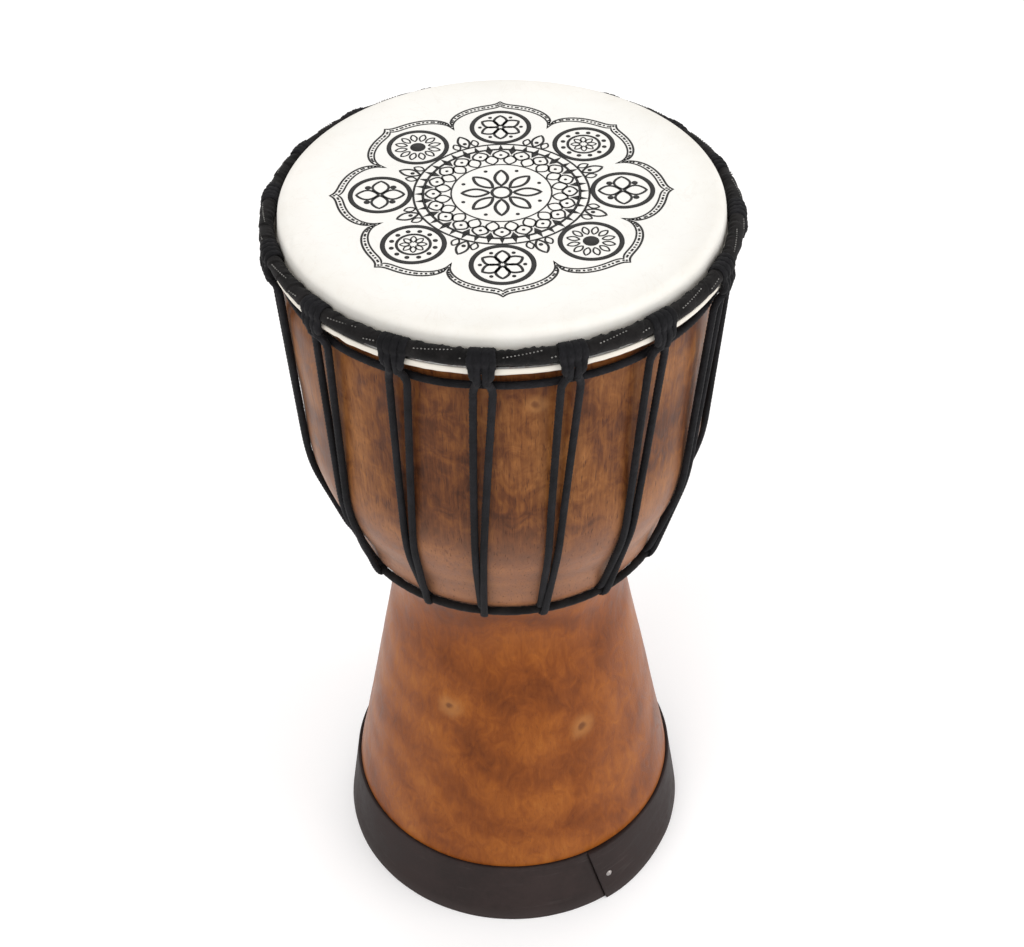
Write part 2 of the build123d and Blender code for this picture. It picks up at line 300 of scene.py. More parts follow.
# ---------------- material writing
class Nodes:
    """A node tree being written.  Each call places nodes and gives back an output."""

    def __init__(self, tree):
        self.tree = tree

    def wire(self, socket, value):
        if isinstance(value, bpy.types.NodeSocket):
            self.tree.links.new(value, socket)
        elif value is not None:
            socket.default_value = value

    def put(self, kind, inputs, **settings):
        made = self.tree.nodes.new("ShaderNode" + kind)
        for key, value in settings.items():
            setattr(made, key, value)
        for key, value in inputs.items():
            self.wire(made.inputs[key], value)
        return made.outputs

    def noise(self, vector, scale, detail=2.0, roughness=0.5, distortion=0.0, output=0):
        return self.put("TexNoise", {
            "Vector": vector, "Scale": scale, "Detail": detail,
            "Roughness": roughness, "Distortion": distortion})[output]

    def grain(self, vector, stretch, detail, roughness=0.5, distortion=0.0):
        """Noise with its own scale along each axis."""
        laid = self.put("Mapping", {"Vector": vector, "Scale": stretch})[0]
        return self.noise(laid, 1.0, detail, roughness, distortion)

    def pulled(self, vector, scale, detail, reach):
        """A position dragged about by noise."""
        drag = self.noise(vector, scale, detail, output=1)
        return self.vector("ADD", vector, self.vector("MULTIPLY", drag, (reach,) * 3))

    def sum(self, operation, a, b=0.0):
        return self.put("Math", {0: a, 1: b}, operation=operation)[0]

    def times(self, a, b):
        return self.sum("MULTIPLY", a, b)

    def plus(self, a, b):
        return self.sum("ADD", a, b)

    def minus(self, a, b):
        return self.sum("SUBTRACT", a, b)

    def weigh(self, a, share_a, b, share_b):
        return self.plus(self.times(a, share_a), self.times(b, share_b))

    def vector(self, operation, a, b=None):
        made = self.put("VectorMath", {0: a, 1: b}, operation=operation)
        return made["Value" if operation in ("LENGTH", "DISTANCE") else "Vector"]

    def split(self, vector):
        return self.put("SeparateXYZ", {0: vector})

    def grey(self, value):
        return self.put("CombineColor", {0: value, 1: value, 2: value})[0]

    def spread(self, value, low, high, to_low=0.0, to_high=1.0):
        """A value between low and high turned smoothly into one between the other two."""
        return self.put("MapRange", {
            "Value": value, "From Min": low, "From Max": high,
            "To Min": to_low, "To Max": to_high}, interpolation_type="SMOOTHSTEP")[0]

    def mix(self, share, a, b, blend="MIX"):
        return self.put("Mix", {0: share, 6: a, 7: b}, data_type="RGBA", blend_type=blend)[2]

    def ramp(self, value, stops):
        made = self.put("ValToRGB", {0: value})[0]
        steps = made.node.color_ramp.elements
        while len(steps) < len(stops):
            steps.new(0.5)
        for step, (at, colour) in zip(steps, stops):
            step.position = at
            step.color = (*colour, 1)
        return made

    def group(self, tree, inputs):
        made = self.tree.nodes.new("ShaderNodeGroup")
        made.node_tree = tree
        for key, value in inputs.items():
            self.wire(made.inputs[key], value)
        return made.outputs

    def mottled(self, colour, at, scale, amount):
        return self.group(MOTTLE, {"Color": (*colour, 1), "Position": at, "Scale": scale,
                                   "Amount": amount})


def new_group(name, inputs, outputs):
    """An empty node group with named sockets, and its input and output nodes."""
    tree = bpy.data.node_groups.new(name, "ShaderNodeTree")
    for way, sockets in (("INPUT", inputs), ("OUTPUT", outputs)):
        for label, kind in sockets.items():
            tree.interface.new_socket(label, in_out=way, socket_type="NodeSocket" + kind)
    given = tree.nodes.new("NodeGroupInput").outputs
    return tree, Nodes(tree), given, tree.nodes.new("NodeGroupOutput").inputs


def make_mottle():
    """Slow and fine colour variation over a plain colour."""
    tree, n, given, gives = new_group(
        "mottle", {"Color": "Color", "Position": "Vector", "Scale": "Float", "Amount": "Float"},
        {"Color": "Color", "Mask": "Float"})
    slow = n.noise(given["Position"], given["Scale"], 4.0, 0.6)
    fine = n.noise(given["Position"], n.times(given["Scale"], 9.0), 3.0, 0.6)
    both = n.weigh(slow, 0.7, fine, 0.3)
    even = n.spread(both, 0.32, 0.68, -1.0, 1.0)
    grey = n.grey(n.plus(n.times(even, given["Amount"]), 1.0))
    n.wire(gives["Color"], n.mix(1.0, given["Color"], grey, "MULTIPLY"))
    n.wire(gives["Mask"], both)
    return tree


def make_fibre():
    """Fine threads that run with a rope, from its own lay coordinates."""
    tree, n, given, gives = new_group(
        "fibre", {"Lay": "Vector", "Across": "Float", "Along": "Float"},
        {"Height": "Float", "Shade": "Float"})
    scale = n.put("CombineXYZ", {0: given["Across"], 1: given["Along"], 2: 1.0})[0]
    thread = n.noise(n.vector("MULTIPLY", given["Lay"], scale), 1.0, 3.0, 0.65)
    tuft = n.noise(given["Lay"], 160.0, 3.0, 0.6)
    n.wire(gives["Height"], n.weigh(thread, 0.75, tuft, 0.25))
    n.wire(gives["Shade"], n.spread(n.plus(thread, tuft), 0.7, 1.35, 0.55, 1.5))
    return tree


def make_weave():
    """Plain over-and-under weave from lay coordinates, threads to the metre."""
    tree, n, given, gives = new_group(
        "weave", {"Lay": "Vector", "Threads": "Float"}, {"Height": "Float", "Shade": "Float"})
    parts = n.split(given["Lay"])
    turn = n.times(given["Threads"], pi)
    over = n.times(*(n.sum("SINE", n.times(parts[k], turn)) for k in (0, 1)))
    worn = n.noise(given["Lay"], 90.0, 3.0, 0.6)
    n.wire(gives["Height"], n.plus(n.times(over, 0.5), worn))
    n.wire(gives["Shade"], n.spread(n.plus(n.times(over, 0.18), worn), 0.3, 0.8, 0.6, 1.5))
    return tree


def make_knot():
    """A branch knot: a pale halo with a dark eye, round a point on the wood."""
    tree, n, given, gives = new_group(
        "knot", {"Position": "Vector", "Centre": "Vector", "Size": "Float"},
        {"Halo": "Float", "Eye": "Float"})
    pulled = n.pulled(given["Position"], 90.0, 2.0, 0.008)
    away = n.sum("DIVIDE", n.vector("DISTANCE", pulled, given["Centre"]), given["Size"])
    n.wire(gives["Halo"], n.spread(away, 1.0, 0.25))
    n.wire(gives["Eye"], n.spread(away, 0.34, 0.08))
    return tree


MOTTLE, FIBRE, WEAVE, KNOT = make_mottle(), make_fibre(), make_weave(), make_knot()


def new_material(name, **plain):
    """A material with its one shader.  Even values are set on the shader's own sockets."""
    material = bpy.data.materials.new(name)
    material.use_nodes = True
    shader = material.node_tree.nodes["Principled BSDF"].inputs
    for label, value in plain.items():
        shader[label.replace("_", " ")].default_value = value
    return material, Nodes(material.node_tree), shader


def object_place(nodes):
    return nodes.put("TexCoord", {})["Object"]


def mottled_material(name, colour, scale, amount, rough_low, rough_high, **plain):
    """A material whose colour and roughness both follow one mottle."""
    material, n, shader = new_material(name, **plain)
    at = object_place(n)
    mottle = n.mottled(colour, at, scale, amount)
    n.wire(shader["Base Color"], mottle["Color"])
    n.wire(shader["Roughness"], n.spread(mottle["Mask"], 0.3, 0.7, rough_low, rough_high))
    return material, n, shader, at, mottle


def raise_bumps(nodes, shader, height, strength, distance):
    nodes.wire(shader["Normal"], nodes.put("Bump", {"Height": height, "Strength": strength,
                                                    "Distance": distance})[0])


# ---------------- wood
KNOTS = ((-28.0, 0.170, 0.012), (31.0, 0.150, 0.013), (8.0, 0.452, 0.007), (150.0, 0.360, 0.012),
         (205.0, 0.120, 0.014), (100.0, 0.190, 0.010))       # degrees, height, size
BOWL_TONES = [(0.37, (0.046, 0.013, 0.004)), (0.46, (0.105, 0.032, 0.009)),
              (0.53, (0.170, 0.058, 0.014)), (0.66, (0.290, 0.114, 0.031))]
STEM_TONES = [(0.33, (0.110, 0.026, 0.004)), (0.46, (0.195, 0.050, 0.007)),
              (0.58, (0.275, 0.080, 0.011)), (0.74, (0.380, 0.140, 0.026))]
PALE_FLANK = (0.310, 0.150, 0.088, 1)
PORE_BROWN = (0.045, 0.014, 0.006, 1)
KNOT_HALO = (0.42, 0.19, 0.060, 1)
KNOT_EYE = (0.10, 0.032, 0.012, 1)
# one dark brown for the dirt and painted shade under the crown and the painted shade under the
# waist ring
DIRT_AND_SHADE_BROWN = (0.070, 0.020, 0.009, 1)
RAW_WOOD = (0.33, 0.19, 0.095, 1)
GROWTH_RING = 8.5 * MM
TO_STEM = (0.292, 0.262)           # heights where one look starts to give way, and has given way
TO_TOOL_MARKS = (0.360, 0.315)
TO_PALE = (0.385, 0.305)
# heights of the darkening: dirt and painted shade under the crown, painted shade under the waist
# ring
TO_CROWN_DIRT_AND_SHADE = (0.430, 0.480)
TO_RING_SHADE, PAST_RING_SHADE = (0.235, 0.272), (0.286, 0.276)


def growth_rings(n, at):
    """Light and dark rings round a pith that stands off centre and leans."""
    parts = n.split(n.pulled(at, 11.0, 3.0, 0.020))
    x = n.plus(n.minus(parts[0], 0.022), n.times(parts[2], 0.055))
    y = n.plus(parts[1], n.times(parts[2], -0.040))
    pith = n.sum("SQRT", n.plus(n.times(x, x), n.times(y, y)))
    return n.plus(n.times(n.sum("SINE", n.times(pith, TAU / GROWTH_RING)), 0.5), 0.5)


def carved_wood():
    """Oiled hardwood: growth rings, curl, pores and knots, with dirt and painted shade under the
    crown and painted shade under the waist ring.
    """
    material, n, shader = new_material("carved_wood", Coat_Roughness=0.28, Coat_IOR=1.4,
                                       Specular_IOR_Level=0.09, Sheen_Weight=0.15,
                                       Sheen_Tint=(1.0, 0.80, 0.70, 1),
                                       Sheen_Roughness=0.35)
    at = object_place(n)
    height = n.split(at)[2]
    rings = growth_rings(n, at)
    blotch = n.grain(at, (24, 24, 15), 4.0, 0.55, 0.6)
    curl = n.grain(at, (95, 95, 60), 3.0, 0.6, 1.6)
    fibre = n.grain(at, (620, 620, 38), 5.0, 0.7)
    lathe = n.grain(at, (9, 9, 330), 3.0, 0.6)
    stem = n.spread(height, *TO_STEM)

    tone = n.weigh(blotch, 0.34, rings, 0.10)
    bowl_tone = n.minus(n.plus(tone, n.weigh(curl, 0.34, fibre, 0.26)), 0.012)
    stem_tone = n.plus(n.plus(tone, n.weigh(curl, 0.30, fibre, 0.12)), 0.055)
    tooled = n.times(n.spread(height, *TO_TOOL_MARKS), 0.16)
    bowl_tone = n.plus(bowl_tone, n.times(tooled, n.minus(lathe, 0.45)))
    pale = n.times(n.spread(height, *TO_PALE), 0.60)
    bowl = n.mix(pale, n.ramp(bowl_tone, BOWL_TONES), PALE_FLANK)
    colour = n.mix(stem, bowl, n.ramp(stem_tone, STEM_TONES))

    flecks = n.spread(n.grain(at, (1500, 1500, 120), 2.0), 0.60, 0.72)
    pores = n.times(flecks, n.spread(stem, 0.0, 1.0, 0.78, 0.25))
    colour = n.mix(pores, colour, PORE_BROWN)
    eyes = None
    for degrees, z, size in KNOTS:
        r = float(np.interp(z, HEIGHTS, OUTER))
        centre = place(r, radians(degrees), z)
        out = n.group(KNOT, {"Position": at, "Centre": tuple(centre + 0.004), "Size": size})
        colour = n.mix(n.times(out["Halo"], 0.45), colour, KNOT_HALO)
        colour = n.mix(n.times(out["Eye"], 0.75), colour, KNOT_EYE)
        eyes = out["Eye"] if eyes is None else n.sum("MAXIMUM", eyes, out["Eye"])

    # darker under the rings: painted shade with some hand and rope dirt under the crown, and
    # painted shade under the waist ring
    under_crown_dirt_and_shade = n.times(n.spread(height, *TO_CROWN_DIRT_AND_SHADE), 0.42)
    under_ring_shade = n.times(n.spread(height, *TO_RING_SHADE), n.spread(height, *PAST_RING_SHADE))
    dirt_and_painted_shade = n.sum("MAXIMUM", under_crown_dirt_and_shade, n.times(under_ring_shade, 0.40))
    colour = n.mix(n.times(dirt_and_painted_shade, n.spread(blotch, 0.25, 0.60, 1.0, 0.55)), colour, DIRT_AND_SHADE_BROWN)
    hollow = n.put("Attribute", {}, attribute_name="hollow")["Fac"]
    n.wire(shader["Base Color"], n.mix(hollow, colour, n.mix(0.55, colour, RAW_WOOD)))

    satin = n.spread(curl, 0.3, 0.7, 0.36, 0.50)
    n.wire(shader["Roughness"], n.plus(satin, n.times(hollow, 0.4)))
    n.wire(shader["Coat Weight"], n.times(n.spread(blotch, 0.3, 0.7, 0.05, 0.13),
                                          n.minus(1.0, hollow)))
    relief = n.minus(n.weigh(fibre, 0.6, curl, 0.8), n.plus(n.times(flecks, 0.35), eyes))
    raise_bumps(n, shader, relief, 0.30, 0.5 * MM)
    return material


SHELL_SIDES = 320
EDGE_OUT, EDGE_IN = 0.488, 0.478     # the bearing edge begins here outside and inside
GOUGE_STEP = 0.026                   # the hollow is gouged out in rows of this height
GOUGE_DEEP = 1.1 * MM


def make_shell():
    """The carved shell, outside and hollow, as one closed skin of points."""
    angle = around(SHELL_SIDES)[None, :]
    outside_z = np.concatenate([np.linspace(0, EDGE_OUT, 180),
                                np.linspace(EDGE_OUT + 1.2 * MM, SHELL_TOP, 14)])[:, None]
    hollow_z = np.concatenate([np.linspace(SHELL_TOP, EDGE_IN, 8),
                               np.linspace(EDGE_IN - 4.5 * MM, 0, 80)])[:, None]
    out_r = wood_radius(angle, outside_z)
    smooth = place(out_r, angle, outside_z)
    facets = rough(smooth, 42.0, 1) * 0.16 * MM + rough(smooth, 120.0, 2) * 0.05 * MM
    calm = 1 - hump(outside_z - WAIST_Z, 9 * MM) - step_between(outside_z, 0.44, 0.46)
    calm *= step_between(outside_z, BAND_TOP, BAND_TOP + 6 * MM)
    outside = place(out_r + facets * np.clip(calm, 0, 1), angle, outside_z)

    row = np.floor(hollow_z / GOUGE_STEP)
    gouge = np.sin(np.pi * hollow_z / GOUGE_STEP) ** 2
    gouge = gouge * (0.4 + 0.6 * np.sin(11 * angle + 2.4 * row) ** 2)
    marks = gouge * GOUGE_DEEP * (1 - step_between(hollow_z, 0.45, 0.47))
    hollow = place(np.interp(hollow_z, HEIGHTS, INNER) + marks, angle, hollow_z)
    foot = place(np.linspace(INNER[0], OUTER[0], 5)[1:-1][:, None], angle, 0.0)
    points = np.concatenate([outside, hollow, foot])
    mesh = grid_mesh("shell", points, along=True, around=True)
    inside = np.zeros(points.shape[:2])
    inside[len(outside_z) + 4:] = 1
    mesh.attributes.new("hollow", "FLOAT", "POINT").data.foreach_set("value", inside.ravel())
    finish_piece("carved_shell", mesh, carved_wood(), ["shell"])


# ---------------- skin
SKIN = 0.8 * MM
RIM_ROUND = 5.8 * MM
SKIN_SIDES = 400
SKIN_EDGE_R = 0.12       # about where the hem hangs
CREASES = ((-69.0, 113.6, 7.0, 0.45), (-60.5, 115.0, 3.0, 0.3), (24.0, 114.3, 9.0, 0.25),
           (140.0, 113.0, 8.0, 0.35))              # degrees, radius, half length, rise in mm
EDGE_CREAM = (0.70, 0.655, 0.575, 1)
SKIN_ROSE = (0.905, 0.865, 0.825, 1)
HEM_TAN = (0.66, 0.60, 0.50, 1)
VEIN = (0.62, 0.52, 0.42, 1)


def goat_skin():
    """Bleached rawhide: cloudy, a little warmer and greyer towards the hem, faint veins."""
    material, n, shader, at, cloudy = mottled_material(
        "goat_skin", (0.850, 0.838, 0.800), 17.0, 0.028, 0.50, 0.66, Specular_IOR_Level=0.35)
    x, y, z = n.split(at)
    out = n.vector("LENGTH", n.put("CombineXYZ", {0: x, 1: y})[0])
    patchy = n.spread(n.noise(at, 36.0, 4.0, 0.6), 0.3, 0.7, 0.45, 1.0)
    edge = n.times(n.spread(out, 0.094, 0.1185), n.times(patchy, 0.50))
    warm = n.mix(edge, cloudy["Color"], EDGE_CREAM)
    warm = n.mix(n.spread(n.noise(at, 9.0, 2.0), 0.46, 0.62, 0.0, 0.30), warm, SKIN_ROSE)
    warm = n.mix(n.times(n.spread(z, 0.4935, 0.4875), 0.55), warm, HEM_TAN)
    veins = n.grain(at, (38, 26, 38), 5.0, 0.55, 2.2)
    line = n.sum("ABSOLUTE", n.minus(veins, 0.5))
    vein = n.times(n.spread(line, 0.014, 0.0), 0.10)
    n.wire(shader["Base Color"], n.mix(vein, warm, VEIN))
    grain = n.times(n.noise(at, 1300.0, 3.0, 0.6), 0.4)
    raise_bumps(n, shader, n.plus(grain, cloudy["Mask"]), 0.12, 0.3 * MM)
    return material


def skin_profile():
    """Radius and height from the middle of the head over the rim to the folded hem."""
    skirt_r = float(np.interp(EDGE_OUT, HEIGHTS, OUTER)) + SKIN + 0.15 * MM
    bend_r = skirt_r - RIM_ROUND
    flat = [(r, SKIN_TOP) for r in np.linspace(0.001, bend_r, 66)]
    bend = [(bend_r + RIM_ROUND * sin(t), SKIN_TOP - RIM_ROUND * (1 - cos(t)))
            for t in np.linspace(0, pi / 2 - 0.1, 12)[1:]]
    low = bend[-1][1]
    skirt = [(skirt_r + (HOOP_R - HEM - skirt_r) * t, low + (HOOP_Z - low) * t)
             for t in np.linspace(0, 1, 8)[1:]]
    fold = [(HOOP_R - HEM * cos(t), HOOP_Z - HEM * sin(t))
            for t in np.linspace(0, pi * 1.18, 20)[1:]]
    return np.array(flat + bend + skirt + fold), len(flat), len(flat) + len(bend) + len(skirt)


def close_middle(work):
    """Fills the small hole in the middle of the head."""
    work.verts.ensure_lookup_table()
    work.faces.new([work.verts[k] for k in range(SKIN_SIDES)])
    bmesh.ops.recalc_face_normals(work, faces=work.faces)


def make_drumhead():
    """The skin drawn over the edge, with its hem turned round the hidden hoop."""
    angle = around(SKIN_SIDES)[None, :]
    profile, rim, hem = skin_profile()
    radius = np.repeat(profile[:, :1], SKIN_SIDES, 1)
    height = np.repeat(profile[:, 1:], SKIN_SIDES, 1)
    on_top = (np.arange(len(profile)) < rim + 6)[:, None]
    for degrees, at, half, rise in CREASES:
        off = turned(angle, radians(degrees)) * at * MM
        across = radius - at * MM - 0.35 * off
        fold = hump(across, 0.7 * MM) - 0.5 * hump(across - 1.8 * MM, 0.9 * MM)
        height = height + rise * MM * hump(off, half * MM) * fold * on_top
    low = (np.arange(len(profile)) >= hem)[:, None]
    edge = place(SKIN_EDGE_R, angle[0], 0.0)
    slack = rough(edge, 90.0, 3) * 0.45 + rough(edge, 260.0, 4) * 0.25
    nick = (0.5 * hump(turned(angle, radians(-38)), 0.020)
            - 1.1 * hump(turned(angle, radians(-41)), 0.016))
    sag = (slack[None, :] + nick) * MM * low * np.clip((HOOP_Z - height) / HEM, 0, 1)
    mesh = grid_mesh("drumhead", place(radius + 0.3 * sag, angle, height - 0.8 * sag), around=True)
    reworked(mesh, close_middle)
    head = finish_piece("goat_skin_head", mesh, goat_skin(), ["drumhead"])
    body = head.modifiers.new("thickness", "SOLIDIFY")
    body.thickness = SKIN * 0.9
    body.offset = -1.0


# ---------------- printed rosette
INK_RISE = 0.07 * MM
LOBES = 8
ROSETTE_R = 86.58        # the print is drawn in millimetres
ORIGIN = np.zeros(2)


def unit_circle(count):
    return np.stack([np.cos(around(count)), np.sin(around(count))], -1)


def polar(radius, heading):
    return np.stack([radius * np.sin(heading), radius * np.cos(heading)], -1)


class Print:
    """Flat ink shapes on the head, gathered into one mesh."""

    def __init__(self):
        self.points, self.faces = [], []

    def fill(self, outline):
        start = len(self.points)
        self.points += [tuple(p) for p in outline]
        self.faces.append(tuple(range(start, len(self.points))))

    def line(self, path, width):
        """A line of even width drawn round a closed path."""
        way = way_along(path, True)
        out = np.stack([-way[:, 1], way[:, 0]], -1) * width / 2
        start, count = len(self.points), len(path)
        self.points += [tuple(p) for p in np.concatenate([path - out, path + out])]
        for k in range(count):
            a, b = start + k, start + (k + 1) % count
            self.faces.append((a, b, count + b, count + a))

    def ring(self, radius, width, centre=ORIGIN, count=72):
        self.line(centre + radius * unit_circle(count), width)

    def dots(self, count, at, radius, sides=12, centre=ORIGIN, turn=0.0):
        """Round dots in a ring round a centre."""
        for heading in turn + around(count):
            self.fill(centre + polar(at, heading) + radius * unit_circle(sides))

    def wedges(self, count, base, tip, width, turn=0.0):
        """Solid triangles in a ring, their feet at one radius and their points at another."""
        half = width / 2 / base
        for heading in turn + around(count):
            self.fill(polar(np.array([base, base, tip]), heading + np.array([-half, half, 0])))

    def petals(self, count, near, far, half, width, centre=ORIGIN, turn=0.0):
        """Pointed oval outlines in a ring round a centre."""
        t = np.linspace(0, 1, 17)[:, None]
        along, bow = near + (far - near) * t, half * np.sin(np.pi * t) ** 0.8
        for heading in turn + around(count):
            middle = centre + along * polar(1.0, heading)
            side = bow * polar(1.0, heading + pi / 2)
            self.line(np.concatenate([middle + side, (middle - side)[-2:0:-1]]), width)


LOBE_RISE = 16.5
BORDER = 3.7                 # between the two lines of the lobed border
MEDALLION_AT, MEDALLION_R = 63.6, 15.7
# petals (count, near, far, half width, line) and dots (count, at, size, sides, half steps on),
# all but the lines as shares of the medallion
MEDALLIONS = (((6, 0.10, 0.74, 0.22, 1.5), (6, 0.72, 0.07, 12, 1)),
              ((8, 0.12, 0.44, 0.09, 0.8), (12, 0.73, 0.085, 10, 0)),
              ((4, 0.06, 0.80, 0.27, 1.4), (4, 0.60, 0.11, 12, 1)),
              ((12, 0.38, 0.80, 0.105, 0.95), (1, 0.0, 0.27, 24, 0)))
RINGED = 1                   # the kind with a second ring inside


def lobed_edge(radius, point):
    """A ring of broad lobes, each with a small point at its crown."""
    heading = around(LOBES * 60)
    t = turned(heading * LOBES, 0) / pi
    arch = np.sqrt(np.clip(1 - np.abs(t) ** 2.1, 0, 1))
    return polar(radius - LOBE_RISE * (1 - arch) + point * np.exp(-np.abs(t) / 0.07), heading)


def draw_border(ink):
    ink.line(lobed_edge(ROSETTE_R, 3.5), 1.15)
    ink.line(lobed_edge(ROSETTE_R - BORDER, 2.8), 1.0)
    middle = lobed_edge(ROSETTE_R - BORDER / 2, 3.0)
    run = np.cumsum(np.linalg.norm(np.roll(middle, -1, 0) - middle, axis=1))
    for at in np.arange(0, run[-1], 2.0):
        ink.dots(1, 0.0, 0.72, 8, middle[np.searchsorted(run, at) % len(middle)])


def draw_medallion(ink, heading, kind):
    centre = polar(MEDALLION_AT, heading)
    (petals, near, far, half, line), (dots, at, size, sides, steps) = MEDALLIONS[kind]
    near, far, half, at, size = (share * MEDALLION_R for share in (near, far, half, at, size))
    ink.ring(MEDALLION_R, 2.6, centre)
    ink.petals(petals, near, far, half, line, centre, heading)
    ink.dots(dots, at, size, sides, centre, heading + steps * pi / dots)
    if kind == RINGED:
        ink.ring(0.55 * MEDALLION_R, 1.5, centre)


def draw_middle(ink):
    """The petal and wedge rings inside the medallions, and the flower in the centre."""
    for radius, width in ((46.2, 1.2), (41.2, 1.5), (26.4, 0.9)):
        ink.ring(radius, width, count=180)
    ink.wedges(40, 41.6, 45.9, 2.7)
    ink.petals(20, 31.8, 40.0, 4.2, 1.15)
    ink.petals(20, 27.0, 35.2, 3.3, 1.0, turn=TAU / 40)
    ink.wedges(20, 40.8, 36.2, 4.6, TAU / 40)
    ink.dots(20, 35.7, 0.9)
    ink.petals(8, 6.5, 20.8, 3.4, 1.7)
    ink.dots(8, 21.6, 1.1, turn=TAU / 16)
    ink.ring(5.0, 1.7)


def draw_between(ink):
    """A spray of three petals and a dot between each two medallions."""
    between = pi / LOBES
    ink.petals(LOBES, 46.7, 58.5, 3.0, 1.3, turn=between)
    ink.dots(LOBES, 51.0, 1.2, turn=between)
    for side in (-1, 1):
        ink.petals(LOBES, 46.7, 52.8, 1.9, 1.0, turn=between + side * 0.105)


def face_up(work):
    """Turns every flat face so that it looks up."""
    for face in work.faces:
        if face.normal.z < 0:
            face.normal_flip()


def make_rosette():
    """A plain geometric rosette: lobed border, round medallions, petal rings, a flower."""
    ink = Print()
    draw_border(ink)
    draw_middle(ink)
    draw_between(ink)
    for k, heading in enumerate(around(LOBES)):
        draw_medallion(ink, heading, k % len(MEDALLIONS))
    mesh = bpy.data.meshes.new("rosette_print")
    level = SKIN_TOP + INK_RISE
    mesh.from_pydata([(x * MM, y * MM, level) for x, y in ink.points], [], ink.faces)
    mesh.validate()
    reworked(mesh, face_up)
    black = mottled_material("printed_ink", (0.026, 0.025, 0.024), 60.0, 0.35, 0.55, 0.75,
                             Specular_IOR_Level=0.25)[0]
    piece = finish_piece("rosette_print", mesh, black)
    coat = piece.modifiers.new("ink", "SOLIDIFY")
    coat.thickness = INK_RISE * 0.7
    coat.offset = -1.0


# ---------------- cloth and rope looks
def textile(name, group, threads, tone, scale, amount, rough_span, bump, sheen):
    """Black textile: threads along its lay coordinates over a mottled tone."""
    material, n, shader = new_material(name, Specular_IOR_Level=0.12, Sheen_Weight=sheen,
                                       Sheen_Roughness=0.5)
    laid = n.group(group, {"Lay": n.put("UVMap", {}, uv_map="lay")[0], **threads})
    tint = n.mottled(tone, object_place(n), scale, amount)
    shaded = n.mix(1.0, tint["Color"], n.grey(laid["Shade"]), "MULTIPLY")
    n.wire(shader["Base Color"], shaded)
    n.wire(shader["Roughness"], n.spread(laid["Height"], *rough_span))
    raise_bumps(n, shader, laid["Height"], *bump)
    return material


CLOTH = textile("black_cloth", WEAVE, {"Threads": 1900.0}, (0.0090, 0.0080, 0.0080), 85.0, 0.55,
                (0.0, 1.0, 0.70, 0.92), (0.55, 0.22 * MM), 0.04)
ROPE_BLACK = textile("black_rope", FIBRE, {"Across": 2600.0, "Along": 420.0},
                     (0.0085, 0.0082, 0.0096), 30.0, 0.45, (0.25, 0.75, 0.62, 0.86),
                     (0.45, 0.18 * MM), 0.02)

# ---------------- rings wound with cloth
CROWN_DROP = 1.0 * MM
LEAN_FROM_BACK = radians(30)
STEEL_COVER = 0.25 * MM      # the cloth is nowhere thinner than this over its steel


def low_behind(angle, drop):
    """The crown ring was knocked down a little further at the back, most at the back right."""
    return drop * step_between(-np.cos(angle + LEAN_FROM_BACK), 0.15, 0.85)


def wound_ring(ring, ring_r, ring_z, thick, steel, sides, section, turns, lump, drop, pinched,
               pinch):
    """A ring bound in a spiral of cloth strip, pinched where the rope turns press on it."""
    angle = around(sides)[:, None]
    turn = around(section)[None, :]      # 0 faces out, a quarter turn is up
    wrap = (turns * angle / TAU - turn / TAU) % 1.0
    strip = 0.55 * wrap ** 0.7 - 0.25
    line = place(ring_r, angle, ring_z)
    uneven = rough(line, 55.0, 5) * 0.55 + rough(line, 170.0, 6) * 0.30
    tube = thick * 0.96 + lump * (strip + uneven)
    for at in pinched:
        tube = tube - 0.5 * lump * hump(turned(angle, at) * ring_r, pinch)
    frayed = rough(place(ring_r, angle, 0.0), 420.0, 7)
    inner_top = hump(turned(turn, radians(128)), 0.5)
    tube = tube + 0.9 * lump * frayed * inner_top
    fallen = low_behind(angle, drop)
    tube = np.maximum(tube, steel + STEEL_COVER + fallen * np.sin(turn))
    line_r = ring_r + lump * 0.6 * rough(place(ring_r, angle, 0.2), 24.0, 8)
    lay = (TAU * ring_r / sides, TAU * thick / section)
    points = place(line_r + tube * np.cos(turn), angle, ring_z - fallen + tube * np.sin(turn))
    mesh = grid_mesh(ring + "_binding", points, along=True, around=True, lay=lay)
    finish_piece(ring + "_binding", mesh, CLOTH, [ring + "_cloth"])


def make_ring_cloths():
    wound_ring("crown_ring", CROWN_R, CROWN_Z, CROWN_CLOTH, CROWN_STEEL, 1800, 28, 68, 0.95 * MM,
               CROWN_DROP, HITCH_AT, 7.5 * MM)
    wound_ring("waist_ring", WAIST_R - 0.3 * MM, WAIST_Z, WAIST_CLOTH * 1.18,
               WAIST_STEEL + 0.3 * MM, 900, 16, 90, 0.26 * MM, 0.0, LACE_AT, 5 * MM)


STITCH_STEP = 1.8 * MM
STITCH_HALF = (0.50 * MM, 0.36 * MM, 0.45 * MM)      # along the ring, across it, off it
STITCH_ROWS = ((10.5, 11, 40), (33.0, 6, 18))        # start past the hitch in mm, count, degrees up
BEAD_ROWS, BEAD_SIDES = 5, 8


